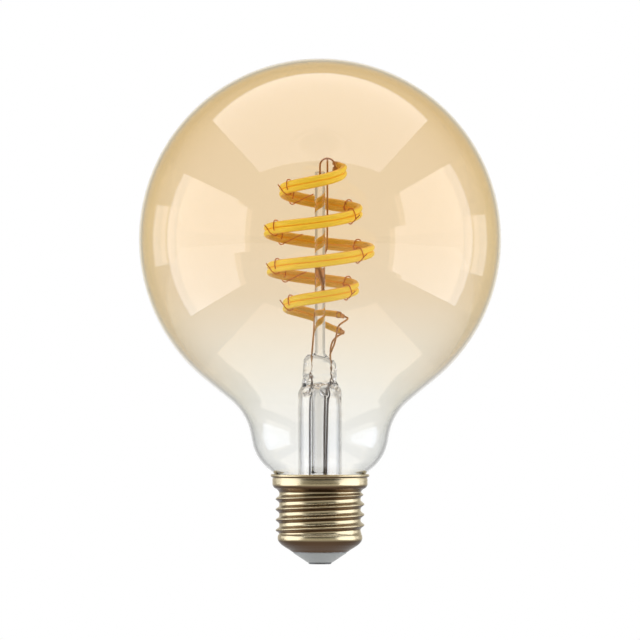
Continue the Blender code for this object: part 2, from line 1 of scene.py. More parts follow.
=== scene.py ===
"""The looks of the globe filament smart bulb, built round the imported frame.

Z is the bulb's axis, zero is the centre contact's lower face, and the camera stands on -Y.
Dimensions are in millimetres and turn into metres when a mesh is made.
"""

import math

import bpy
from mathutils import Matrix, Vector, noise

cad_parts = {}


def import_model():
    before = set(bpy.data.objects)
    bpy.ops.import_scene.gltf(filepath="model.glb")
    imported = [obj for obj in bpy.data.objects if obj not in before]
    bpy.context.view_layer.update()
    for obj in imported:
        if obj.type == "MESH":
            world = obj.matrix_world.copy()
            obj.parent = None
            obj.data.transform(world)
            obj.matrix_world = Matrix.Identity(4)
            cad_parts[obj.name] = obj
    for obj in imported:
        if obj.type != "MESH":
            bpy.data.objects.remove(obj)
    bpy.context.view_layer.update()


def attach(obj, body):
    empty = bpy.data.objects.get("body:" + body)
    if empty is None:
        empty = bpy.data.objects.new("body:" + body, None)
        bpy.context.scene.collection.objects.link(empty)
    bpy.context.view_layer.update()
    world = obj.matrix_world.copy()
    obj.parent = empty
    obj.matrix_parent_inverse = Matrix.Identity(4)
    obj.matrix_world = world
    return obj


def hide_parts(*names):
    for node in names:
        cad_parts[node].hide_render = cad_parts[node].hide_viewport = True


MM = 0.001
AXIS_R = 0.05  # where a turned outline stops short of the axis, to be capped

# Glass envelope
GLOBE_R = 53.8
GLOBE_Z = 96.4
GLASS_WALL = 0.9
NECK_LEAVES_AT = 140.7  # degrees from the top, where the globe ends and the neck starts
NECK_FLANK = 9.9
NECK_HOLLOW_R, NECK_HOLLOW_TURN = 16.6, 40.0
NECK_WAIST = 2.5
SHOULDER_R, SHOULDER_TURN = 13.3, 39.9
SHOULDER_FLANK = 2.6
SPIGOT_CURL_R = 2.5
SPIGOT_END_Z = 22.9

# Screw cap
CAP_TOP_Z = 26.8
CAP_FLANGE_R = 14.7
COLLAR_R, COLLAR_LOW_Z = 14.15, 23.2
CAP_SHEET = 0.35
THREAD_ROOT_R, THREAD_CREST_R = 12.1, 13.2
THREAD_PITCH = 3.1
THREAD_CREST_SHARPNESS = 1.9
THREAD_LOW_Z, THREAD_HIGH_Z = 8.6, 21.6
THREAD_FADE = 1.3
THREAD_CREST_Z = 17.8  # height of a crest on the +X side
BEAD_R, BEAD_Z = 12.6, 8.0
SKIRT_R, SKIRT_Z = 12.3, 6.6
CAP_MOUTH_R, CAP_MOUTH_Z = 8.2, 3.6
CAP_STEPS = 240  # points round the cap
CAP_SPACING = 0.11  # between its rings

# Insulator and centre contact
INSULATOR_R, INSULATOR_LOW_R, INSULATOR_INSIDE_R = 7.95, 3.6, 10.9
INSULATOR_TOP_Z, INSULATOR_BORE_R = 7.4, 1.3
CONTACT_R, CONTACT_THICK, CONTACT_SEAT_Z = 3.45, 0.5, 0.8
CONTACT_PIN_R, CONTACT_PIN_TOP_Z = 0.9, 6.4

# Stem
FLARE_R, FLARE_WALL = 6.5, 1.0
FLARE_RIM_Z = 22.4
FLARE_CURVE_R = 4.6
FLARE_RIM_TURN = 80.0  # degrees that the flare has bent outward at its rim
SHOULDER_Z, CAVITY_TOP_Z = 50.6, 53.4
PRESS_X0, PRESS_X1, PRESS_DEPTH = -4.9, 5.0, 5.0
PRESS_MID_X = (PRESS_X0 + PRESS_X1) / 2
PRESS_HALF_X, PRESS_HALF_Y = (PRESS_X1 - PRESS_X0) / 2, PRESS_DEPTH / 2
PRESS_LOW_Z, PRESS_LEFT_Z, PRESS_RIGHT_Z = 54.4, 62.3, 60.6
PRESS_WRINKLE, FOLD_WRINKLE, CAVITY_WRINKLE = 0.9, 1.0, 2.2
WRINKLE_SEED = 5
PRESS_ROUNDS_AT, PRESS_ROUNDS_BY = 0.60, 0.36  # share of its height, share of its width
POST_R, POST_FOOT_Z, POST_TOP_Z = 1.55, 62.9, 116.6
POST_TIP = 0.5  # height of its rounded end
STEM_SIDES = 64
RIM_ROWS, TUBE_ROWS, SHOULDER_ROWS, PRESS_ROWS, POST_ROWS = 9, 11, 12, 28, 39
EXHAUST_R, EXHAUST_WALL, EXHAUST_X = 2.7, 0.9, -0.25
EXHAUST_LOW_Z, EXHAUST_TOP_Z = 19.4, 51.8

# Wires
WIRE_R = 0.28
SEALED_WIRE_R = 0.13  # inside the press
TIE_R = 0.17
TIE_LEAN = 1.7  # how far a tie walks along the pair as it goes round
TIE_PIECES = 30
HOOK_R = 2.2
HOOK_LEG_X = 4.4
HOOK_SPRING_Z = 118.3
LEAD_FOOT_Z = 17.4

# Filaments: a right-handed spiral, measured down from its top right bend
FILAMENT_R = 0.93
FILAMENT_PIECES = 520
PAIR_SPACING = 1.8
SPIRAL_TOP_Z = 116.95
SPIRAL_PITCH = 11.5
SPIRAL_SAG = 0.8
SPIRAL_DIP = 0.5
BEND_RADII = (7.1, 11.2, 11.7, 15.8, 15.3, 14.9, 10.7, 10.2)  # right and left in turn
TOP_END_TURN, TOP_END_R = -26.0, 5.7
BOTTOM_MID_TURN, BOTTOM_MID_R = 1350.0, 5.6
BOTTOM_END_TURN, BOTTOM_END_R = 1403.0, 7.2
BOTTOM_SPREAD = 2.9
LAST_BEND = 180.0 * (len(BEND_RADII) - 1)

# Driver
BOARD_R, BOARD_LOW_Z, BOARD_THICK = 10.6, 16.0, 1.4
CAPACITOR_R, CAPACITOR_TALL = 3.4, 7.8
CHOKE_R, CHOKE_TALL = 2.6, 6.4
FUSE_LONG, FUSE_R, FUSE_X0 = 7.2, 1.02, -6.6
FUSE_PIECES = 36
AERIAL_BEND_R, AERIAL_TOP_Z = 8.6, 21.2

# Cement between the cap and the glass
CEMENT_INNER_R, CEMENT_OUTER_R = 12.95, 13.5
CEMENT_LOW_Z, CEMENT_TOP_Z = 23.4, 25.2

# Studio, in metres: panels stand this far from the globe's centre
PANEL_REACH = 0.9
PANEL_GLOW = 1.55
PANEL_COLOUR = (0.90, 0.98, 1.2)
WING_GLOW = 0.8
BACKDROP_GLOW = 1.0
FRONT_GLOW = 0.08
# A side panel's name, its Y and its rise on the right (a fall on the left), its size along Y
# and Z, each as a share of the reach, and its glow
SIDE_PANELS = (
    ("panel", -0.145, 0.05, 1.09, 1.08, PANEL_GLOW),
    ("flap", -0.8, -0.14, 0.22, 0.61, PANEL_GLOW),
    ("wing", 0.66, -0.03, 0.44, 0.38, WING_GLOW),
)
FLOOR_Z = -1.6
FLOOR_SIDE = 30.0
FLOOR_BACK = 4.0
FLOOR_SUN = 1.3
CAMERA_Y, CAMERA_Z = -3.0, 0.0725
CAMERA_LENS = 568.2


# ---------------------------------------------------------------- meshes


def signed_volume(points, faces):
    """Positive when a closed surface's faces look outwards."""
    total = 0.0
    for face in faces:
        first = Vector(points[face[0]])
        for b, c in zip(face[1:], face[2:]):
            total += first.dot(Vector(points[b]).cross(Vector(points[c])))
    return total


def make_piece(name, points, faces, surface, crease=None):
    """A smooth mesh object from points in millimetres, facing outwards."""
    if signed_volume(points, faces) < 0:
        faces = [face[::-1] for face in faces]
    mesh = bpy.data.meshes.new(name)
    mesh.from_pydata([tuple(c * MM for c in p) for p in points], [], faces)
    mesh.validate()
    mesh.materials.append(surface)
    mesh.shade_smooth()
    if crease:
        mesh.set_sharp_from_angle(angle=math.radians(crease))
    piece = bpy.data.objects.new(name, mesh)
    bpy.context.collection.objects.link(piece)
    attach(piece, "root")
    return piece


def skin(name, rings, surface, ends="caps", crease=None):
    """Joins rings of points into a surface; its ends are capped, or joined into a loop."""
    count = len(rings[0])
    points = [p for ring in rings for p in ring]
    faces = []
    spans = len(rings) if ends == "loop" else len(rings) - 1
    for k in range(spans):
        low = k * count
        high = ((k + 1) % len(rings)) * count
        for i in range(count):
            j = (i + 1) % count
            faces.append((low + i, low + j, high + j, high + i))
    if ends == "caps":
        faces.append(tuple(range(count))[::-1])
        faces.append(tuple(range(len(points) - count, len(points))))
    return make_piece(name, points, faces, surface, crease)


def turned(name, profile, surface, steps=96, ends="loop", crease=None, centre=(0, 0)):
    """Turns (radius, height) points round Z, or round another upright axis."""
    rings = []
    for radius, height in profile:
        ring = []
        for i in range(steps):
            angle = 2 * math.pi * i / steps
            x = centre[0] + radius * math.cos(angle)
            y = centre[1] + radius * math.sin(angle)
            ring.append((x, y, height))
        rings.append(ring)
    return skin(name, rings[::-1], surface, ends, crease)


def swept(name, path, radius, surface, sides):
    """A round wire along a path; radius is a number or a function of the share of the length."""
    points = [Vector(p) for p in path]
    last = len(points) - 1
    rings = []
    side = None
    for i, point in enumerate(points):
        ahead = (points[min(i + 1, last)] - points[max(i - 1, 0)]).normalized()
        if side is None:
            side = ahead.orthogonal()
        side = (side - ahead * side.dot(ahead)).normalized()
        across = ahead.cross(side)
        thick = radius(i / last) if callable(radius) else radius
        for shrink, shift in end_rings(i, last):
            ring = []
            for k in range(sides):
                angle = 2 * math.pi * k / sides
                offset = side * math.cos(angle) + across * math.sin(angle)
                ring.append(point + offset * thick * shrink + ahead * thick * shift)
            rings.append(ring)
    return skin(name, rings, surface, crease=50)


def end_rings(i, last):
    """(scale, shift) of the rings at a station, so that a wire's ends are rounded."""
    if i not in (0, last):
        return [(1.0, 0.0)]
    rounding = []
    for degrees in (0, 30, 60, 80):
        turn = math.radians(degrees)
        rounding.append((math.cos(turn), math.sin(turn) * 0.8))
    if i == 0:
        return [(scale, -shift) for scale, shift in rounding[::-1]]
    return rounding


def smooth_path(points, per_span):
    """A Catmull-Rom curve through the points."""
    knots = [Vector(p) for p in points]
    knots = [2 * knots[0] - knots[1]] + knots + [2 * knots[-1] - knots[-2]]
    path = []
    for a, b, c, d in zip(knots, knots[1:], knots[2:], knots[3:]):
        for i in range(per_span):
            t = i / per_span
            linear = (c - a) * t
            square = (2 * a - 5 * b + 4 * c - d) * t**2
            cubic = (3 * b - a - 3 * c + d) * t**3
            path.append(b + (linear + square + cubic) * 0.5)
    path.append(knots[-2])
    return path


def smoothstep(value):
    value = min(max(value, 0.0), 1.0)
    return value * value * (3 - 2 * value)


def arc_walk(start, heading, moves):
    """Walks lines and arcs from a point: (radius, height, heading) at each stop.

    The heading is in degrees below horizontal, outward. A move is ("line", length) or
    ("arc", radius, turn, pieces), and a positive turn bends the walk inward, to the axis.
    """
    radius, height = start
    angle = math.radians(heading)
    stops = [(radius, height, angle)]
    for kind, *values in moves:
        if kind == "line":
            for _ in range(6):
                radius += values[0] / 6 * math.cos(angle)
                height -= values[0] / 6 * math.sin(angle)
                stops.append((radius, height, angle))
            continue
        bend, turn, pieces = values
        step = math.radians(turn) / pieces
        chord = 2 * bend * math.sin(abs(step) / 2)
        for _ in range(pieces):
            radius += chord * math.cos(angle + step / 2)
            height -= chord * math.sin(angle + step / 2)
            angle += step
            stops.append((radius, height, angle))
    return stops


def rounded_path(corners, reach, pieces):
    """Rounds the corners of a line of (radius, height) points."""
    path = [corners[0]]
    for before, corner, after in zip(corners, corners[1:], corners[2:]):
        b, c, a = Vector(before), Vector(corner), Vector(after)
        start = c + (b - c).normalized() * min(reach, (b - c).length * 0.45)
        end = c + (a - c).normalized() * min(reach, (a - c).length * 0.45)
        for i in range(pieces + 1):
            t = i / pieces
            path.append(tuple(start * (1 - t) ** 2 + c * 2 * t * (1 - t) + end * t**2))
    path.append(corners[-1])
    return path


def spread_points(profile, spacing):
    """Adds points so that no two neighbours are further apart than the spacing."""
    path = [profile[0]]
    for before, after in zip(profile, profile[1:]):
        pieces = max(1, math.ceil(math.dist(before, after) / spacing))
        for i in range(1, pieces + 1):
            t = i / pieces
            radius = before[0] + (after[0] - before[0]) * t
            height = before[1] + (after[1] - before[1]) * t
            path.append((radius, height))
    return path


# ---------------------------------------------------------------- materials


class Shader:
    """A material with a Principled shader and a short way to add and link nodes."""

    def __init__(self, name, **values):
        self.material = bpy.data.materials.new(name)
        self.material.use_nodes = True
        self.tree = self.material.node_tree
        self.main = self.tree.nodes["Principled BSDF"]
        for socket, value in values.items():
            self.main.inputs[socket.replace("_", " ")].default_value = value

    def node(self, kind, settings=None, **inputs):
        made = self.tree.nodes.new(kind)
        for key, value in (settings or {}).items():
            setattr(made, key, value)
        for socket, value in inputs.items():
            self.put(made.inputs[socket.replace("_", " ")], value)
        return made

    def put(self, socket, value):
        if isinstance(value, bpy.types.NodeSocket):
            self.tree.links.new(value, socket)
        else:
            socket.default_value = value

    def math(self, operation, a, b=0.0, clamp=False):
        made = self.node("ShaderNodeMath", {"operation": operation, "use_clamp": clamp})
        self.put(made.inputs[0], a)
        self.put(made.inputs[1], b)
        return made.outputs[0]

    def place(self):
        """The shaded point's X, Y and Z in metres."""
        where = self.node("ShaderNodeNewGeometry").outputs["Position"]
        return self.node("ShaderNodeSeparateXYZ", Vector=where).outputs

    def noise(self, scale, detail=3.0, stretch=(1, 1, 1)):
        where = self.node("ShaderNodeNewGeometry").outputs["Position"]
        mapped = self.node("ShaderNodeMapping", Vector=where, Scale=stretch).outputs[0]
        return self.node("ShaderNodeTexNoise", Vector=mapped, Scale=scale, Detail=detail).outputs[0]

    def between(self, factor, a, b):
        """A colour mix."""
        made = self.node("ShaderNodeMix", {"data_type": "RGBA"})
        self.put(made.inputs["Factor"], factor)
        self.put(made.inputs[6], a)
        self.put(made.inputs[7], b)
        return made.outputs[2]

    def ranged(self, value, low, high, to_low, to_high, smooth=False):
        kind = "SMOOTHSTEP" if smooth else "LINEAR"
        made = self.node("ShaderNodeMapRange", {"interpolation_type": kind})
        self.put(made.inputs[0], value)
        for socket, number in zip(list(made.inputs)[1:5], (low, high, to_low, to_high)):
            socket.default_value = number
        return made.outputs[0]

    def bump(self, height, strength, distance):
        made = self.node("ShaderNodeBump", Height=height, Strength=strength, Distance=distance)
        self.put(self.main.inputs["Normal"], made.outputs[0])


COAT_FADES_Z, COAT_FULL_Z = 52, 80

# The envelope's tint at heights in millimetres: seen square on, and at the rim
GLASS_TINTS = (
    (36, (0.950, 0.950, 0.930), (0.86, 0.87, 0.85)),
    (50, (0.930, 0.918, 0.875), (0.88, 0.86, 0.76)),
    (60, (0.930, 0.895, 0.820), (0.92, 0.78, 0.57)),
    (70, (0.935, 0.870, 0.765), (0.95, 0.79, 0.50)),
    (80, (0.932, 0.838, 0.700), (0.98, 0.80, 0.45)),
    (96, (0.943, 0.833, 0.672), (1.0, 0.82, 0.42)),
    (125, (0.945, 0.825, 0.650), (1.0, 0.77, 0.34)),
)


def height_ramp(shader, height, colours):
    """A colour by height, through the given colour at each height of GLASS_TINTS."""
    heights = [row[0] for row in GLASS_TINTS]
    low, high = heights[0], heights[-1]
    share = shader.ranged(height, low * MM, high * MM, 0.0, 1.0)
    ramp = shader.node("ShaderNodeValToRGB", Fac=share)
    stops = ramp.color_ramp.elements
    stops[0].color = (*colours[0], 1)
    stops[1].color = (*colours[-1], 1)
    for level, colour in list(zip(heights, colours))[1:-1]:
        stops.new((level - low) / (high - low)).color = (*colour, 1)
    return ramp.outputs[0]


def amber_glass():
    """Blown glass with a gold tint that deepens edge-on and fades to clear in the neck."""
    made = Shader("amber_glass", Roughness=0.0, IOR=1.4, Transmission_Weight=1.0)
    height = made.place()["Z"]
    facing = made.node("ShaderNodeLayerWeight", Blend=0.5).outputs["Facing"]
    rim = made.math("MULTIPLY", made.math("POWER", facing, 4.0), 3.33, clamp=True)
    middle_tint = height_ramp(made, height, [row[1] for row in GLASS_TINTS])
    rim_tint = height_ramp(made, height, [row[2] for row in GLASS_TINTS])
    coated = made.ranged(height, COAT_FADES_Z * MM, COAT_FULL_Z * MM, 0.0, 1.0, smooth=True)
    edge = made.ranged(facing, 0.75, 0.84, 0.0, 0.85, smooth=True)
    lip = made.math("MULTIPLY", edge, coated)
    tint = made.between(rim, middle_tint, rim_tint)
    made.put(made.main.inputs["Base Color"], made.between(lip, tint, (1.0, 0.74, 0.28, 1)))
    return made.material


def clear_glass():
    made = Shader("clear_glass", Roughness=0.0, IOR=1.4, Transmission_Weight=1.0)
    cloud = made.noise(90.0)
    tint = made.between(cloud, (1.0, 1.0, 1.0, 1), (0.985, 0.98, 0.975, 1))
    made.put(made.main.inputs["Base Color"], tint)
    return made.material


def aged_brass():
    """Brass plating with painted shade where it faces down, and faint rolling marks round the cap.
    """
    made = Shader("aged_brass", Metallic=1.0)
    cloud = made.noise(160.0, 4.0)
    marks = made.noise(900.0, 2.0, (0.05, 0.05, 1.6))
    bright = made.between(cloud, (0.80, 0.66, 0.39, 1), (0.70, 0.57, 0.33, 1))
    # Surfaces that face down, under each thread crest and along the collar's foot, get a dark
    # painted shade colour in place of the brass's own
    split = made.node("ShaderNodeSeparateXYZ")
    made.put(split.inputs[0], made.node("ShaderNodeNewGeometry").outputs["Normal"])
    painted_shade_mask = made.ranged(split.outputs["Z"], -0.55, -0.03, 0.0, 1.0, smooth=True)
    made.put(made.main.inputs["Base Color"], made.between(painted_shade_mask, (0.12, 0.07, 0.038, 1), bright))
    made.put(made.main.inputs["Roughness"], made.ranged(marks, 0.3, 0.7, 0.21, 0.30))
    made.bump(marks, 0.08, 0.0001)
    return made.material


def mottled(name, one, other, scale, roughness, **values):
    """A surface whose colour and gloss vary a little from place to place."""
    made = Shader(name, **values)
    cloud = made.noise(scale)
    made.put(made.main.inputs["Base Color"], made.between(cloud, (*one, 1), (*other, 1)))
    made.put(made.main.inputs["Roughness"], made.ranged(cloud, 0.2, 0.8, *roughness))
    return made.material


def grey_insulator():
    dark, light = (0.34, 0.345, 0.315), (0.40, 0.405, 0.375)
    return mottled("grey_insulator", dark, light, 300.0, (0.25, 0.4), Coat_Weight=0.4)


def plated_contact():
    light, dark = (0.18, 0.18, 0.175), (0.14, 0.14, 0.135)
    return mottled("plated_contact", light, dark, 500.0, (0.2, 0.34), Metallic=1.0)


def tie_copper():
    light, dark = (0.86, 0.30, 0.05), (0.68, 0.21, 0.03)
    return mottled("tie_copper", light, dark, 900.0, (0.35, 0.5), Metallic=0.25)


def copper_wire():
    """Copper-clad wire, dull and dark below the press where the stem was sealed hot."""
    made = Shader("copper_wire", Metallic=0.45)
    cloud = made.noise(700.0)
    bright = made.between(cloud, (0.74, 0.37, 0.11, 1), (0.58, 0.26, 0.06, 1))
    low, high = (PRESS_LOW_Z - 2.4) * MM, (PRESS_LEFT_Z - 0.3) * MM
    height = made.ranged(made.place()["Z"], low, high, 0.0, 1.0, smooth=True)
    made.put(made.main.inputs["Base Color"], made.between(height, (0.22, 0.17, 0.13, 1), bright))
    made.put(made.main.inputs["Roughness"], made.ranged(cloud, 0.2, 0.8, 0.25, 0.4))
    return made.material


def filament_silicone():
    """Silicone with yellow phosphor, bright on the spiral's outer side and deeper inside, partly
    painted shade, with a faint painted glow.
    """
    made = Shader("filament_silicone", Roughness=0.4, Coat_Weight=0.25, Coat_Roughness=0.25)
    where = made.node("ShaderNodeNewGeometry")
    flat = made.node("ShaderNodeVectorMath", {"operation": "MULTIPLY"})
    made.put(flat.inputs[0], where.outputs["Position"])
    flat.inputs[1].default_value = (1, 1, 0)
    outward = made.node("ShaderNodeVectorMath", {"operation": "NORMALIZE"})
    made.put(outward.inputs[0], flat.outputs[0])
    facing = made.node("ShaderNodeVectorMath", {"operation": "DOT_PRODUCT"})
    made.put(facing.inputs[0], where.outputs["Normal"])
    made.put(facing.inputs[1], outward.outputs[0])
    # The inner side's deeper colour is partly the strip's back face and partly painted shade on the
    # turns seen from behind
    outer = made.ranged(facing.outputs["Value"], 0.25, 0.85, 0.0, 1.0, smooth=True)
    inner = made.ranged(facing.outputs["Value"], -0.9, -0.2, 0.0, 1.0, smooth=True)
    lumps = made.noise(420.0, 2.0)
    bright = made.between(lumps, (1.0, 0.80, 0.07, 1), (0.98, 0.70, 0.04, 1))
    side = made.between(lumps, (0.96, 0.50, 0.015, 1), (0.90, 0.43, 0.01, 1))
    deep = made.between(lumps, (0.80, 0.42, 0.02, 1), (0.72, 0.34, 0.015, 1))
    shaded = made.between(inner, deep, side)
    made.put(made.main.inputs["Base Color"], made.between(outer, shaded, bright))
    # A faint painted glow, stronger on the outer side, though the lamp is off
    made.put(made.main.inputs["Emission Color"], (1.0, 0.68, 0.05, 1))
    made.put(made.main.inputs["Emission Strength"], made.ranged(outer, 0.0, 1.0, 0.14, 0.33))
    made.bump(lumps, 0.15, 0.0001)
    return made.material


def pale_floor():
    made = Shader("pale_floor", Roughness=0.7)
    colour = made.between(made.noise(6.0), (0.90, 0.90, 0.89, 1), (0.86, 0.86, 0.85, 1))
    made.put(made.main.inputs["Base Color"], colour)
    return made.material


# ---------------------------------------------------------------- glass and cap


def glass_envelope(surface):
    """The globe and neck as one closed wall, open at the foot where the stem is sealed in."""
    leave = NECK_LEAVES_AT
    crown = 0.5
    turn = math.radians(crown)
    start = (GLOBE_R * math.sin(turn), GLOBE_Z + GLOBE_R * math.cos(turn))
    foot = leave - NECK_HOLLOW_TURN + SHOULDER_TURN
    stops = arc_walk(
        start,
        crown,
        [
            ("arc", GLOBE_R, leave - crown, 110),
            ("line", NECK_FLANK),
            ("arc", NECK_HOLLOW_R, -NECK_HOLLOW_TURN, 20),
            ("line", NECK_WAIST),
            ("arc", SHOULDER_R, SHOULDER_TURN, 20),
            ("line", SHOULDER_FLANK),
            ("arc", SPIGOT_CURL_R, 90 - foot, 10),
        ],
    )
    stops.append((stops[-1][0], SPIGOT_END_Z, stops[-1][2]))
    outer = [(radius, height) for radius, height, _ in stops]
    inner = []
    for radius, height, angle in stops:
        inner.append((radius - GLASS_WALL * math.sin(angle), height - GLASS_WALL * math.cos(angle)))
    inner[0] = (0.2, inner[0][1])
    piece = turned("glass_envelope_look", inner + outer[::-1], surface, steps=160, ends="caps")
    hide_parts("glass_envelope")


def thread_lift(angle, height):
    """How far the rolled thread stands out of its root at this place."""
    phase = (height - THREAD_CREST_Z) / THREAD_PITCH - angle / (2 * math.pi)
    wave = (0.5 + 0.5 * math.cos(2 * math.pi * phase)) ** THREAD_CREST_SHARPNESS
    rise = smoothstep((height - THREAD_LOW_Z) / THREAD_FADE)
    fall = smoothstep((THREAD_HIGH_Z - height) / THREAD_FADE)
    return (THREAD_CREST_R - THREAD_ROOT_R) * wave * rise * fall


def cap_shell(surface):
    """The screw shell with its rolled rim, collar, thread and dished bottom."""
    corners = [
        (CAP_FLANGE_R - 0.75, CAP_TOP_Z - 0.25),
        (CAP_FLANGE_R - 0.35, CAP_TOP_Z),
        (CAP_FLANGE_R, CAP_TOP_Z - 0.3),
        (CAP_FLANGE_R - 0.1, CAP_TOP_Z - 0.85),
        (COLLAR_R - 0.15, CAP_TOP_Z - 1.05),
        (COLLAR_R, CAP_TOP_Z - 1.5),
        (COLLAR_R, COLLAR_LOW_Z + 0.3),
        (COLLAR_R - 0.45, COLLAR_LOW_Z - 0.5),
        (THREAD_ROOT_R + 0.55, COLLAR_LOW_Z - 1.05),
        (THREAD_ROOT_R, THREAD_HIGH_Z - 0.2),
        (THREAD_ROOT_R, THREAD_LOW_Z + 0.4),
        (BEAD_R, BEAD_Z + 0.5),
        (BEAD_R, BEAD_Z - 0.6),
        (SKIRT_R, SKIRT_Z + 0.1),
        (11.5, 5.8),
        (10.2, 4.9),
        (9.1, 4.25),
        (CAP_MOUTH_R, CAP_MOUTH_Z),
    ]
    profile = spread_points(rounded_path(corners, 0.4, 4), CAP_SPACING)
    outer, inner = [], []
    for i, (radius, height) in enumerate(profile):
        before = Vector(profile[max(i - 1, 0)])
        after = Vector(profile[min(i + 1, len(profile) - 1)])
        run = (after - before).normalized()
        outer_ring, inner_ring = [], []
        for k in range(CAP_STEPS):
            angle = 2 * math.pi * k / CAP_STEPS
            lift = thread_lift(angle, height)
            c, s = math.cos(angle), math.sin(angle)
            inner_r = radius + run.y * CAP_SHEET + lift
            outer_ring.append(((radius + lift) * c, (radius + lift) * s, height))
            inner_ring.append((inner_r * c, inner_r * s, height - run.x * CAP_SHEET))
        outer.append(outer_ring)
        inner.append(inner_ring)
    piece = skin("cap_shell_look", inner + outer[::-1], surface, ends="loop", crease=60)
    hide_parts("cap_shell")


def cap_bottom(grey, silver):
    """The insulator's cone and the contact disc set in its foot."""
    cone = [
        (INSULATOR_BORE_R, CONTACT_SEAT_Z),
        (CONTACT_R + 0.05, CONTACT_SEAT_Z),
        (INSULATOR_LOW_R, 0.42),
        (INSULATOR_R, CAP_MOUTH_Z - 0.3),
        (INSULATOR_R, CAP_MOUTH_Z + 0.7),
        (9.2, 5.1),
        (INSULATOR_INSIDE_R, 6.5),
        (INSULATOR_INSIDE_R, INSULATOR_TOP_Z),
        (INSULATOR_BORE_R, INSULATOR_TOP_Z),
    ]
    outline = rounded_path(cone + cone[:1], 0.25, 4)
    piece = turned("insulator_look", outline, grey, crease=50)
    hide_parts("insulator")
    disc = [
        (AXIS_R, 0.0),
        (CONTACT_R - 0.35, 0.0),
        (CONTACT_R, CONTACT_THICK / 2),
        (CONTACT_R, CONTACT_THICK),
        (CONTACT_PIN_R, CONTACT_THICK + 0.1),
        (CONTACT_PIN_R, CONTACT_PIN_TOP_Z),
        (AXIS_R, CONTACT_PIN_TOP_Z),
    ]
    outline = rounded_path(disc, 0.15, 4)
    piece = turned("centre_contact_look", outline, silver, steps=64, ends="caps", crease=50)
    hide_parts("centre_contact")


# ---------------------------------------------------------------- stem


def rounded_ring(half_x, half_y, square, count, middle=0.0):
    """A ring that is round at square 0 and a rounded rectangle at square 1."""
    power = 1 - 0.5 * square
    ring = []
    for i in range(count):
        angle = 2 * math.pi * i / count
        c, s = math.cos(angle), math.sin(angle)
        x = half_x * math.copysign(abs(c) ** power, c)
        y = half_y * math.copysign(abs(s) ** power, s)
        ring.append((middle + x, y))
    return ring


def wrinkled(point, amount):
    """Moves a point of the pinched glass a little, as it was worked while soft."""
    shift = noise.noise_vector(Vector(point) * 0.42 + Vector((3.1, 7.7, 1.9)))
    fine = noise.noise_vector(Vector(point) * 1.1)
    return tuple(Vector(point) + (shift * 0.5 + fine * 0.3) * amount)


def fold(height):
    """The crumpled line where the tube was pinched into the press."""
    return FOLD_WRINKLE * math.exp(-(((height - PRESS_LOW_Z) / 1.4) ** 2))


def flare_curve(reach):
    """Rows of (radius, height) along the flared foot, this far from the centre of its bend."""
    rows = []
    for i in range(RIM_ROWS + 1):
        turn = math.radians(FLARE_RIM_TURN - FLARE_RIM_TURN * i / RIM_ROWS)
        radius = FLARE_R + FLARE_CURVE_R - reach * math.cos(turn)
        height = FLARE_RIM_Z + FLARE_CURVE_R - reach * math.sin(turn)
        rows.append((radius, height))
    return rows


def tube_heights(top):
    """Heights along the straight tube, above the flared foot and up to this one."""
    low = FLARE_RIM_Z + FLARE_CURVE_R
    return [low + (top - low) * i / TUBE_ROWS for i in range(1, TUBE_ROWS + 1)]


def stem_foot_rows():
    """Outer rows of the flare and shoulder: half width, half depth, height, pressed, wrinkle."""
    rows = [(radius, radius, height, 0.0, 0.0) for radius, height in flare_curve(FLARE_CURVE_R)]
    rows += [(FLARE_R, FLARE_R, height, 0.0, 0.0) for height in tube_heights(SHOULDER_Z)]
    for i in range(1, SHOULDER_ROWS + 1):
        share = i / SHOULDER_ROWS
        ease = smoothstep(share)
        wide = FLARE_R + (PRESS_HALF_X - FLARE_R) * ease**1.4
        deep = FLARE_R + (PRESS_HALF_Y - FLARE_R) * ease
        height = SHOULDER_Z + (PRESS_LOW_Z - SHOULDER_Z) * share
        rows.append((wide, deep, height, ease, 0.5 * PRESS_WRINKLE * ease + fold(height)))
    return rows


def press_and_post_rows():
    """Outer rows of the press, its narrowing top and the post, in the same form."""
    rows = []
    for i in range(1, PRESS_ROWS + 1):
        share = i / PRESS_ROWS
        rounding = max(share - PRESS_ROUNDS_AT, 0.0) / (1 - PRESS_ROUNDS_AT)
        scale = 1 - PRESS_ROUNDS_BY * (1 - math.sqrt(1 - rounding**2))
        height = PRESS_LOW_Z + (PRESS_LEFT_Z - PRESS_LOW_Z) * share
        wrinkle = PRESS_WRINKLE * smoothstep(0.5 + share * 3) + fold(height)
        rows.append((PRESS_HALF_X * scale, PRESS_HALF_Y * scale, height, 1.0, wrinkle))
    scale = 1 - PRESS_ROUNDS_BY
    for share in (0.25, 0.5, 0.75, 0.9, 1.0):
        left = 1 - share
        wide = POST_R + (PRESS_HALF_X * scale - POST_R) * left**1.6
        deep = POST_R + (PRESS_HALF_Y * scale - POST_R) * left
        height = PRESS_LEFT_Z + (POST_FOOT_Z - PRESS_LEFT_Z) * share
        rows.append((wide, deep, height, left, 0.3 * left))
    tip = POST_TOP_Z - POST_TIP
    for i in range(1, POST_ROWS + 1):
        height = POST_FOOT_Z + (tip - POST_FOOT_Z) * i / POST_ROWS
        rows.append((POST_R, POST_R, height, 0.0, 0.0))
    for degrees in (20, 40, 60, 80):
        turn = math.radians(degrees)
        radius = POST_R - 0.6 * (1 - math.cos(turn))
        rows.append((radius, radius, tip + POST_TIP * math.sin(turn), 0.0, 0.0))
    return rows


def stem_hollow_rows():
    """Rows of (radius, height) of the hollow in the flare, closed by a dome under the press."""
    rows = flare_curve(FLARE_CURVE_R + FLARE_WALL)
    bore = FLARE_R - FLARE_WALL
    dome = SHOULDER_Z - 1.0
    rows += [(bore, height) for height in tube_heights(dome)]
    for degrees in range(15, 90, 15):
        turn = math.radians(degrees)
        rows.append((bore * math.cos(turn) ** 0.8, dome + (CAVITY_TOP_Z - dome) * math.sin(turn)))
    rows.append((0.3, CAVITY_TOP_Z))
    return rows


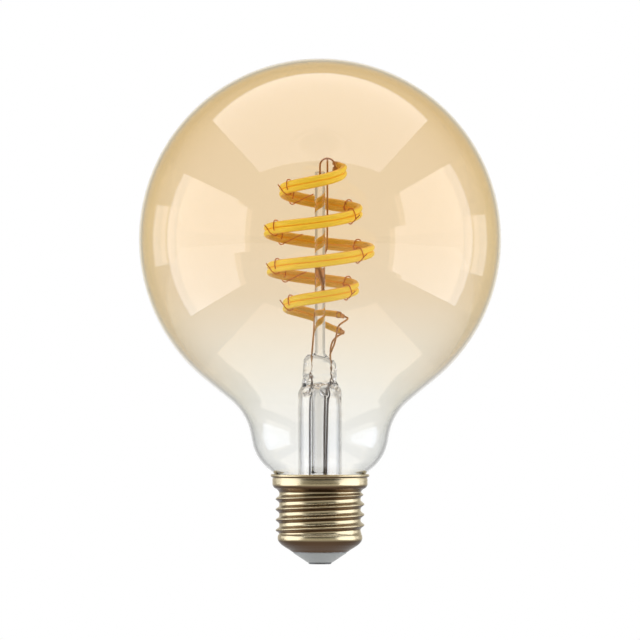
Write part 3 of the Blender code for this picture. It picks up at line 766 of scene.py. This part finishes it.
def press_slant(x, height, pressed):
    """How far the slanting top of the press lowers this point."""
    if height <= PRESS_LOW_Z:
        return 0.0
    share = smoothstep((height - PRESS_LOW_Z) / (PRESS_LEFT_Z - PRESS_LOW_Z))
    across = smoothstep((x - PRESS_X0) / (PRESS_X1 - PRESS_X0)) * pressed
    return (PRESS_RIGHT_Z - PRESS_LEFT_Z) * across * share


def stem_glass(surface):
    """Flare, press and post, fused into one piece of glass with a hollow foot."""
    outside = []
    for wide, deep, height, pressed, wrinkle in stem_foot_rows() + press_and_post_rows():
        ring = []
        for x, y in rounded_ring(wide, deep, pressed, STEM_SIDES, PRESS_MID_X * pressed):
            ring.append(wrinkled((x, y, height + press_slant(x, height, pressed)), wrinkle))
        outside.append(ring)
    inside = []
    for radius, height in stem_hollow_rows():
        wrinkle = CAVITY_WRINKLE * smoothstep((height - SHOULDER_Z + 1) / 2)
        ring = []
        for x, y in rounded_ring(radius, radius, 0.0, STEM_SIDES):
            ring.append(wrinkled((x, y, height), wrinkle))
        inside.append(ring)
    piece = skin("stem_glass_look", inside[::-1] + outside, surface, ends="caps")
    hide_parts("stem_flare", "stem_press", "support_post")


def exhaust_tube(surface):
    bore = EXHAUST_R - EXHAUST_WALL
    profile = [
        (AXIS_R, EXHAUST_LOW_Z),
        (0.9, EXHAUST_LOW_Z + 0.1),
        (2.0, EXHAUST_LOW_Z + 0.6),
        (EXHAUST_R, EXHAUST_LOW_Z + 1.6),
        (EXHAUST_R, EXHAUST_TOP_Z),
        (bore, EXHAUST_TOP_Z),
        (bore, EXHAUST_LOW_Z + 1.7),
        (AXIS_R, EXHAUST_LOW_Z + 1.1),
    ]
    profile = rounded_path(profile, 0.4, 4)
    place = (EXHAUST_X, 0)
    piece = turned("exhaust_tube_look", profile, surface, steps=48, ends="caps", centre=place)
    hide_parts("exhaust_tube")


# ---------------------------------------------------------------- filaments and wires


def spiral_radius(turn):
    """Distance of the spiral from the axis, by a smooth run through the bends."""
    stations = [(TOP_END_TURN, TOP_END_R)]
    stations += [(180.0 * i, radius) for i, radius in enumerate(BEND_RADII)]
    stations += [(BOTTOM_MID_TURN, BOTTOM_MID_R), (BOTTOM_END_TURN, BOTTOM_END_R)]
    for (turn_a, radius_a), (turn_b, radius_b) in zip(stations, stations[1:]):
        if turn <= turn_b:
            share = smoothstep((turn - turn_a) / (turn_b - turn_a))
            return radius_a + (radius_b - radius_a) * share
    return BOTTOM_END_R


def spiral_point(turn, rise=0.0):
    """A place this far over the pair's centre line, its turn in degrees down from the top bend."""
    share = min(max(turn / LAST_BEND, 0.0), 1.0)
    crossing = 0.5 - 0.5 * math.cos(math.radians(2 * turn))
    height = SPIRAL_TOP_Z - SPIRAL_PITCH * turn / 360
    height -= math.sin(math.pi * share) * (SPIRAL_SAG + SPIRAL_DIP * crossing)
    height -= 0.5 * smoothstep((turn - LAST_BEND) / 90)
    radius = spiral_radius(turn)
    angle = math.radians(turn)
    return Vector((radius * math.cos(angle), -radius * math.sin(angle), height + rise))


def pair_spread(turn):
    """How far apart the filaments' centre lines are: they part after the last bend."""
    parting = (turn - LAST_BEND - 60) / (BOTTOM_END_TURN - LAST_BEND - 60)
    return PAIR_SPACING + BOTTOM_SPREAD * smoothstep(parting)


def filament_path(side):
    """The centre line of the upper (side 1) or lower (side -1) filament."""
    path = []
    for i in range(FILAMENT_PIECES + 1):
        turn = TOP_END_TURN + (BOTTOM_END_TURN - TOP_END_TURN) * i / FILAMENT_PIECES
        path.append(spiral_point(turn, rise=side * pair_spread(turn) / 2))
    return path


# A terminal's section along it: (distance from the filament's end, half depth, half height)
TERMINAL_ROWS = (
    (-0.5, 0.98, 0.98),
    (-0.1, 1.0, 1.0),
    (0.35, 0.55, 0.9),
    (0.8, 0.2, 0.75),
    (2.1, 0.14, 0.6),
    (2.2, 0.08, 0.5),
)


def terminal(label, end, beyond, surface):
    """A folded metal strip on a filament's end, wrapped at its root; returns its far end."""
    along = (end - beyond).normalized()
    across = along.cross(Vector((0, 0, 1))).normalized()
    up = across.cross(along)
    turn = Matrix((along, across, up)).transposed()
    rings = []
    for reach, deep, tall in TERMINAL_ROWS:
        ring = []
        for y, z in rounded_ring(deep, tall, 0.7, 20):
            ring.append(end + turn @ Vector((reach, y, z)))
        rings.append(ring)
    piece = skin(f"terminal_{label}_look", rings, surface, crease=50)
    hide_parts(f"terminal_{label}")
    return end + along * TERMINAL_ROWS[-1][0]


def filaments(silicone, copper):
    """Both filaments with a terminal at each end; returns the far ends of the lower terminals."""
    feet = []
    for label, side in (("upper", 1), ("lower", -1)):
        path = filament_path(side)

        def thickness(share, seed=side * 4.0):
            return FILAMENT_R * (1 + 0.03 * noise.noise(Vector((share * 60, seed, 0))))

        piece = swept(f"filament_{label}_look", path, thickness, silicone, sides=20)
        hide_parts(f"filament_{label}")
        terminal(f"top_{label}", path[0], path[2], copper)
        feet.append(terminal(f"foot_{label}", path[-1], path[-3], copper))
    return feet


def named_wire(name, path, surface):
    """A wire through these points, thinner where it's sealed in the press."""
    path = smooth_path(path, 10)

    def thickness(share):
        height = path[round(share * (len(path) - 1))].z
        depth = min(height - PRESS_LOW_Z, PRESS_RIGHT_Z - height)
        return WIRE_R - (WIRE_R - SEALED_WIRE_R) * smoothstep(depth / 0.8)

    piece = swept(f"{name}_look", path, thickness, surface, sides=14)
    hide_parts(name)


def press_run(x, y):
    """Stations that keep a lead straight while it's inside the press."""
    heights = (PRESS_LOW_Z - 1, PRESS_LOW_Z, PRESS_LEFT_Z - 1.5, PRESS_LEFT_Z + 0.2)
    return [(x, y, z) for z in heights]


def wires(copper, feet):
    """The common lead and hook at the top, and one lead for each filament's foot."""
    common = [
        (-2.9, -1.6, LEAD_FOOT_Z),
        (-2.97, -1.9, 30),
        (-2.9, -1.9, 49),
        *press_run(-2.4, 0.0),
        (-1.85, 1.3, 69),
        (-1.55, 1.6, 74),
        (-0.7, 2.0, 77.5),
        (0.35, 1.95, 81.3),
        (0.05, 1.95, 86),
        (-0.15, 2.0, 89.3),
        (0.9, 1.9, 91.3),
        (1.85, 1.2, 93.3),
        (2.15, 0.7, 96),
        (2.2, 0.3, 112),
        (HOOK_LEG_X / 2, 0, HOOK_SPRING_Z + HOOK_R),
    ]
    named_wire("lead_common", common, copper)
    hook = [(0, 0, POST_TOP_Z - 1.0), (0, 0, HOOK_SPRING_Z)]
    for degrees in range(20, 180, 20):
        turn = math.radians(degrees)
        hook.append((HOOK_R - HOOK_R * math.cos(turn), 0, HOOK_SPRING_Z + HOOK_R * math.sin(turn)))
    hook += [(HOOK_LEG_X, 0, HOOK_SPRING_Z), (HOOK_LEG_X, 0, 115.9)]
    named_wire("top_hook", hook, copper)
    upper_foot, lower_foot = feet
    upper = [
        (1.5, -2.9, LEAD_FOOT_Z),
        (1.75, -2.9, 27),
        (2.3, -2.7, 49),
        *press_run(3.1, -0.75),
        (4.3, -0.3, 65.5),
        (5.0, 0.2, 68.6),
        (5.7, 0.6, 70.9),
        (8.2, 2.2, 72.8),
        (upper_foot.x + 0.2, upper_foot.y - 0.2, upper_foot.z),
    ]
    named_wire("lead_upper", upper, copper)
    lower = [
        (1.0, -3.7, LEAD_FOOT_Z),
        (1.2, -3.7, 27),
        (1.45, -3.4, 49),
        *press_run(3.1, 0.75),
        (3.15, 1.0, 64.0),
        (3.8, 1.3, 66.2),
        (5.3, 1.8, 67.7),
        (lower_foot.x - 0.1, lower_foot.y - 0.2, lower_foot.z),
    ]
    named_wire("lead_lower", lower, copper)


def tie_wire(name, turn, face, tail, surface):
    """A thin wire once round both filaments, its end a tail outside (face 1) or inside (-1)."""
    centre = spiral_point(turn)
    along = (spiral_point(turn + 2) - spiral_point(turn - 2)).normalized()
    outward = Vector((centre.x, centre.y, 0)).normalized()
    up = along.cross(outward).normalized()
    if up.z < 0:
        up = -up
    wide = FILAMENT_R + TIE_R + 0.15
    tall = FILAMENT_R + PAIR_SPACING / 2 + TIE_R + 0.25
    path = []
    for i in range(TIE_PIECES + 1):
        angle = math.radians(-50 - 11 * (TIE_PIECES - i))
        lean = TIE_LEAN * (i - TIE_PIECES / 2) / TIE_PIECES
        c, s = math.cos(angle), math.sin(angle)
        out = outward * face * wide * math.copysign(abs(c) ** 0.8, c)
        rise = up * tall * math.copysign(abs(s) ** 0.9, s)
        path.append(centre + (out + rise) + along * lean)
    clear = outward * face
    end = path[-1]
    path.append(end + clear * 0.35 + Vector(tail) * 0.15)
    path.append(end + clear * 0.5 + Vector(tail) * 0.5 + up * 0.15)
    path.append(end + clear * 0.6 + Vector(tail))
    piece = swept(f"{name}_look", smooth_path(path, 3), TIE_R, surface, sides=8)
    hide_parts(name)


def tie_wires(surface):
    """Four before the left bends, three after them, and three each side of the right bends."""
    groups = (
        ("tie_front_left", 4, 148, 1, (-1.6, -0.4, 2.6)),
        ("tie_back_left", 3, 222, -1, (5.0, 2.2, 2.6)),
        ("tie_back_right", 3, 318, -1, (-1.0, 0.6, 2.0)),
        ("tie_front_right", 3, 402, 1, (1.8, -0.9, 2.2)),
    )
    for name, count, first_turn, face, tail in groups:
        for number in range(count):
            tie_wire(f"{name}_{number + 1}", first_turn + 360 * number, face, tail, surface)


# ---------------------------------------------------------------- inside the cap


def slab(name, size, centre, surface, corner=0.3):
    """A moulded block with rounded upright edges and eased rims, replacing the node of its name."""
    half_x, half_y, half_z = size[0] / 2, size[1] / 2, size[2] / 2
    ease = corner * 0.5
    rings = []
    for inset, height in ((ease, -half_z), (0, ease - half_z), (0, half_z - ease), (ease, half_z)):
        ring = []
        for quarter, (side_x, side_y) in enumerate(((1, 1), (-1, 1), (-1, -1), (1, -1))):
            for i in range(5):
                angle = math.radians(90 * quarter + 22.5 * i)
                x = side_x * (half_x - corner) + (corner - inset) * math.cos(angle)
                y = side_y * (half_y - corner) + (corner - inset) * math.sin(angle)
                ring.append((centre[0] + x, centre[1] + y, centre[2] + height))
        rings.append(ring)
    piece = skin(f"{name}_look", rings, surface, ends="caps", crease=35)
    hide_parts(name)


def drum(name, profile, place, surface, steps=64):
    """A part turned round an upright axis at this place, replacing the node of its name."""
    path = rounded_path(profile, 0.3, 4)
    piece = turned(f"{name}_look", path, surface, steps=steps, ends="caps", centre=place, crease=40)
    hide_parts(name)


def ridged(radius, low, high, ridges, depth):
    """A drum's outline whose side runs in shallow ridges."""
    outline = [(AXIS_R, low), (radius - 0.2, low)]
    for i in range(ridges * 4 + 1):
        height = low + 0.2 + (high - low - 0.4) * i / (ridges * 4)
        outline.append((radius - depth * (0.5 + 0.5 * math.cos(math.pi * i / 2)), height))
    return outline + [(radius - 0.2, high), (AXIS_R, high)]


def resistor_body():
    """Cream lacquer with three plain rings round the body."""
    made = Shader("resistor_body", Roughness=0.4)
    across = made.place()["X"]
    cloud = made.noise(400.0)
    colour = made.between(cloud, (0.72, 0.63, 0.44, 1), (0.64, 0.55, 0.37, 1))
    rings = (
        (-4.6, (0.30, 0.16, 0.08, 1)),
        (-3.2, (0.10, 0.10, 0.11, 1)),
        (-1.8, (0.55, 0.30, 0.10, 1)),
    )
    for x, ring in rings:
        away = made.math("ABSOLUTE", made.math("SUBTRACT", across, x * MM))
        colour = made.between(made.math("LESS_THAN", away, 0.35 * MM), colour, ring)
    made.put(made.main.inputs["Base Color"], colour)
    return made.material


def fusible_resistor(under):
    """A cream barrel lying along X below the board, a little thicker over its end caps."""
    path = []
    for i in range(FUSE_PIECES + 1):
        path.append((FUSE_X0 + FUSE_LONG * i / FUSE_PIECES, -5.2, under - 1.6))

    def thickness(share):
        off_middle = abs(2 * share - 1)
        caps = 0.16 * max(off_middle - 0.55, 0.0) / 0.45
        rounding = 0.5 * smoothstep(off_middle * 20 - 19)
        return FUSE_R + caps - rounding

    piece = swept("fusible_resistor_look", path, thickness, resistor_body(), sides=24)
    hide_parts("fusible_resistor")


def driver(copper, silver):
    """The board with the parts that hang from it and the parts that stand on it."""
    green = mottled("board_green", (0.03, 0.20, 0.09), (0.05, 0.27, 0.13), 260.0, (0.35, 0.5))
    light, dark = (0.030, 0.030, 0.032), (0.018, 0.018, 0.018)
    black = mottled("moulded_black", light, dark, 800.0, (0.45, 0.65))
    sleeve = mottled("capacitor_sleeve", (0.03, 0.05, 0.15), (0.04, 0.07, 0.20), 300.0, (0.2, 0.35))
    under = BOARD_LOW_Z
    over = BOARD_LOW_Z + BOARD_THICK
    board = [(AXIS_R, under), (BOARD_R, under), (BOARD_R, over), (AXIS_R, over)]
    drum("driver_board", board, (0, 0), green, 120)
    low = under - CAPACITOR_TALL
    groove = under - 1.4
    can = [
        (AXIS_R, low),
        (CAPACITOR_R, low),
        (CAPACITOR_R, groove - 0.5),
        (CAPACITOR_R - 0.35, groove),
        (CAPACITOR_R, groove + 0.5),
        (CAPACITOR_R, under),
        (AXIS_R, under),
    ]
    drum("smoothing_capacitor", can, (-4.6, 2.4), sleeve)
    winding = ridged(CHOKE_R, under - CHOKE_TALL, under, 7, 0.16)
    drum("filter_choke", winding, (4.6, 4.2), black)
    place = (4.8, -3.6, under - 1.05)
    slab("bridge_rectifier", (4.2, 3.6, 2.1), place, black, 0.4)
    fusible_resistor(under)
    for label, x in (("warm", -6.2), ("cool", 6.2)):
        place = (x, -3.2, over + 0.8)
        slab(f"channel_driver_{label}", (3.0, 4.0, 1.6), place, black)
    slab("radio_board", (9.0, 5.6, 1.1), (0, 6.4, over + 0.55), green, 0.2)
    slab("radio_shield", (6.4, 4.4, 1.7), (-0.8, 6.2, over + 1.95), silver, 0.35)
    aerial = [(3.9, 8.0, over + 1.1)]
    for degrees in range(60, -80, -20):
        turn = math.radians(degrees)
        x, y = AERIAL_BEND_R * math.cos(turn), AERIAL_BEND_R * math.sin(turn)
        aerial.append((x, y, AERIAL_TOP_Z))
    named_wire("aerial_wire", aerial, copper)
    named_wire("centre_contact_wire", [(0, 0, 6.4), (0.25, 0, 11), (0, 0, under)], copper)
    side = [(8.8, 2.0, over), (8.8, 2.0, 18.8), (9.6, 2.0, 20.2), (10.9, 2.0, 21.2)]
    named_wire("side_contact_wire", side, copper)


def cement_ring():
    surface = mottled("cement", (0.66, 0.61, 0.50), (0.76, 0.72, 0.63), 500.0, (0.8, 0.95))
    section = [
        (CEMENT_INNER_R, CEMENT_LOW_Z),
        (CEMENT_OUTER_R, CEMENT_LOW_Z),
        (CEMENT_OUTER_R, CEMENT_TOP_Z),
        (CEMENT_INNER_R, CEMENT_TOP_Z),
        (CEMENT_INNER_R, CEMENT_LOW_Z),
    ]
    outline = rounded_path(section, 0.15, 3)
    piece = turned("neck_cement_look", outline, surface, steps=96, crease=40)
    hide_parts("neck_cement")


# ---------------------------------------------------------------- studio


def panel(name, centre, facing, width, height, glow):
    """A softbox: an even area light of this radiance, facing a direction."""
    light = bpy.data.lights.new(name, "AREA")
    light.shape = "RECTANGLE"
    light.size = width
    light.size_y = height
    light.energy = glow * math.pi * width * height
    light.color = PANEL_COLOUR
    lamp = bpy.data.objects.new(name, light)
    lamp.location = centre
    lamp.rotation_euler = Vector(facing).to_track_quat("-Z", "Y").to_euler()
    bpy.context.collection.objects.link(lamp)


def studio():
    """A light tent: a panel overhead, and a panel, a front flap and a back wing at each side."""
    reach = PANEL_REACH
    middle = GLOBE_Z * MM
    top_place = (0, -0.005 * reach, middle + reach)
    panel("panel_top", top_place, (0, 0, -1), 1.8 * reach, 1.69 * reach, PANEL_GLOW)
    for side, name in ((-1, "left"), (1, "right")):
        inward = (-side, 0, 0)
        for part, y, z, long, tall, glow in SIDE_PANELS:
            place = (side * reach, y * reach, middle + z * side * reach)
            panel(f"{part}_{name}", place, inward, long * reach, tall * reach, glow)


def floor_lamp():
    """A sun straight down that lights the floor and casts no glint on glass or metal."""
    light = bpy.data.lights.new("floor_lamp", "SUN")
    light.energy = FLOOR_SUN
    light.angle = math.radians(30)
    lamp = bpy.data.objects.new("floor_lamp", light)
    lamp.visible_glossy = False
    lamp.visible_transmission = False
    bpy.context.collection.objects.link(lamp)


def world():
    """A white backdrop behind the bulb that falls off to a dim room in front."""
    made = bpy.data.worlds.new("studio")
    bpy.context.scene.world = made
    made.use_nodes = True
    tree = made.node_tree
    background = tree.nodes["Background"]
    where = tree.nodes.new("ShaderNodeTexCoord").outputs["Generated"]
    split = tree.nodes.new("ShaderNodeSeparateXYZ")
    tree.links.new(where, split.inputs[0])
    ramp = tree.nodes.new("ShaderNodeValToRGB")
    half = tree.nodes.new("ShaderNodeMapRange")
    half.inputs[1].default_value = -1.0
    half.inputs[2].default_value = 1.0
    tree.links.new(split.outputs["Y"], half.inputs[0])
    tree.links.new(half.outputs[0], ramp.inputs[0])
    stops = ramp.color_ramp.elements
    stops[0].position, stops[0].color = 0.0, (FRONT_GLOW, FRONT_GLOW, FRONT_GLOW, 1)
    stops[1].position, stops[1].color = 0.99, (BACKDROP_GLOW, BACKDROP_GLOW, BACKDROP_GLOW, 1)
    for position, glow in ((0.35, 0.14), (0.5, 0.25), (0.75, 0.35), (0.9, 0.45), (0.97, 0.6)):
        stops.new(position).color = (glow, glow, glow, 1)
    tree.links.new(ramp.outputs[0], background.inputs["Color"])


def floor(surface):
    """A pale floor well below the bulb, which is held up by its cap."""
    left, right = -FLOOR_SIDE, FLOOR_SIDE
    front, back = -FLOOR_SIDE, FLOOR_BACK
    mesh = bpy.data.meshes.new("floor")
    around = ((left, front), (right, front), (right, back), (left, back))
    corners = [(x, y, FLOOR_Z) for x, y in around]
    mesh.from_pydata(corners, [], [(0, 1, 2, 3)])
    mesh.materials.append(surface)
    ground = bpy.data.objects.new("floor", mesh)
    bpy.context.collection.objects.link(ground)


def camera():
    lens = bpy.data.cameras.new("camera")
    lens.lens = CAMERA_LENS
    lens.sensor_width = 36.0
    eye = bpy.data.objects.new("camera", lens)
    eye.location = (0, CAMERA_Y, CAMERA_Z)
    eye.rotation_euler = (math.pi / 2, 0, 0)
    bpy.context.collection.objects.link(eye)
    bpy.context.scene.camera = eye
    bpy.context.scene.view_settings.view_transform = "Standard"


def main():
    noise.seed_set(WRINKLE_SEED)
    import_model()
    copper = copper_wire()
    clear = clear_glass()
    glass_envelope(amber_glass())
    cap_shell(aged_brass())
    silver = plated_contact()
    cap_bottom(grey_insulator(), silver)
    stem_glass(clear)
    exhaust_tube(clear)
    wires(copper, filaments(filament_silicone(), copper))
    tie_wires(tie_copper())
    driver(copper, silver)
    cement_ring()
    studio()
    floor_lamp()
    world()
    floor(pale_floor())
    camera()


main()
